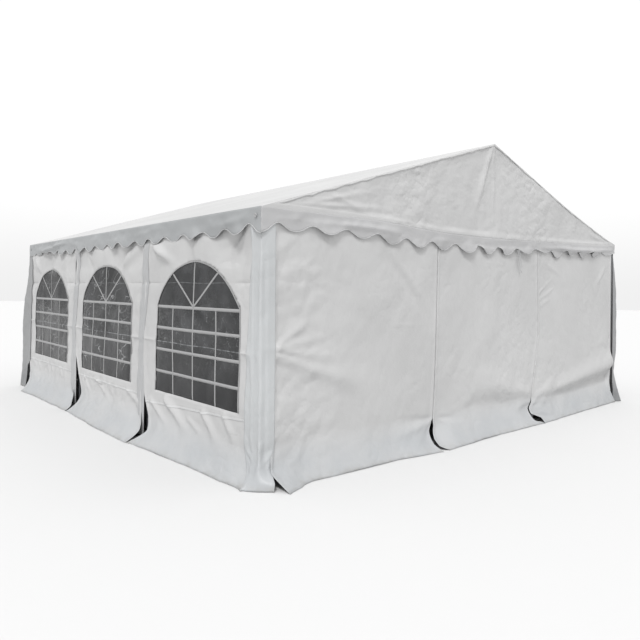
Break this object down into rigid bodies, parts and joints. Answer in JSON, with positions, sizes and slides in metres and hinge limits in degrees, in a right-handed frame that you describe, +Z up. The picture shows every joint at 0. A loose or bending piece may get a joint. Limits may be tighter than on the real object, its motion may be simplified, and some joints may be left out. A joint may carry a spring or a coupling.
{
  "type": "marquee tent",
  "caption": "Square gabled party marquee of PVC fabric on a steel tube frame, with scalloped valance, arched clear windows along both long sides and plain gable walls.",
  "frame": {"origin": "on the ground in the middle of the tent's footprint", "axes": "+Z up, X across the gable from the left side to the right side, Y along the ridge from the front gable to the back gable"},
  "size_m": [6.44, 6.44, 3.09],
  "materials": {
    "roof_fabric": "white PVC-coated polyester sheet, satin",
    "wall_fabric": "light grey-white PVC-coated polyester sheet, creased, satin",
    "window_film": "clear flexible PVC window film, glossy and rippled",
    "galvanised_steel": "galvanised steel tube, dull spangled zinc"
  },
  "bodies": {
    "root": {"corner_cover_back_left": "wall_fabric", "corner_cover_back_right": "wall_fabric", "corner_cover_front_left": "wall_fabric", "corner_cover_front_right": "wall_fabric", "eave_rail_left": "galvanised_steel", "eave_rail_right": "galvanised_steel", "gable_back": "wall_fabric", "gable_front": "wall_fabric", "gable_rail_back": "galvanised_steel", "gable_rail_front": "galvanised_steel", "post_back_1": "galvanised_steel", "post_back_2": "galvanised_steel", "post_front_1": "galvanised_steel", "post_front_2": "galvanised_steel", "post_left_1": "galvanised_steel", "post_left_2": "galvanised_steel", "post_left_3": "galvanised_steel", "post_left_4": "galvanised_steel", "post_right_1": "galvanised_steel", "post_right_2": "galvanised_steel", "post_right_3": "galvanised_steel", "post_right_4": "galvanised_steel", "post_strip_left_1": "wall_fabric", "post_strip_left_2": "wall_fabric", "post_strip_right_1": "wall_fabric", "post_strip_right_2": "wall_fabric", "rafter_left_1": "galvanised_steel", "rafter_left_2": "galvanised_steel", "rafter_left_3": "galvanised_steel", "rafter_left_4": "galvanised_steel", "rafter_right_1": "galvanised_steel", "rafter_right_2": "galvanised_steel", "rafter_right_3": "galvanised_steel", "rafter_right_4": "galvanised_steel", "ridge_beam": "galvanised_steel", "roof_cover": "roof_fabric", "valance_back": "roof_fabric", "valance_front": "roof_fabric", "valance_left": "roof_fabric", "valance_right": "roof_fabric", "wall_back_1": "wall_fabric", "wall_back_2": "wall_fabric", "wall_back_3": "wall_fabric", "wall_front_1": "wall_fabric", "wall_front_2": "wall_fabric", "wall_front_3": "wall_fabric", "wall_left_1": "wall_fabric", "wall_left_2": "wall_fabric", "wall_left_3": "wall_fabric", "wall_right_1": "wall_fabric", "wall_right_2": "wall_fabric", "wall_right_3": "wall_fabric", "window_left_1": "window_film", "window_left_2": "window_film", "window_left_3": "window_film", "window_right_1": "window_film", "window_right_2": "window_film", "window_right_3": "window_film"}
  },
  "joints": []
}
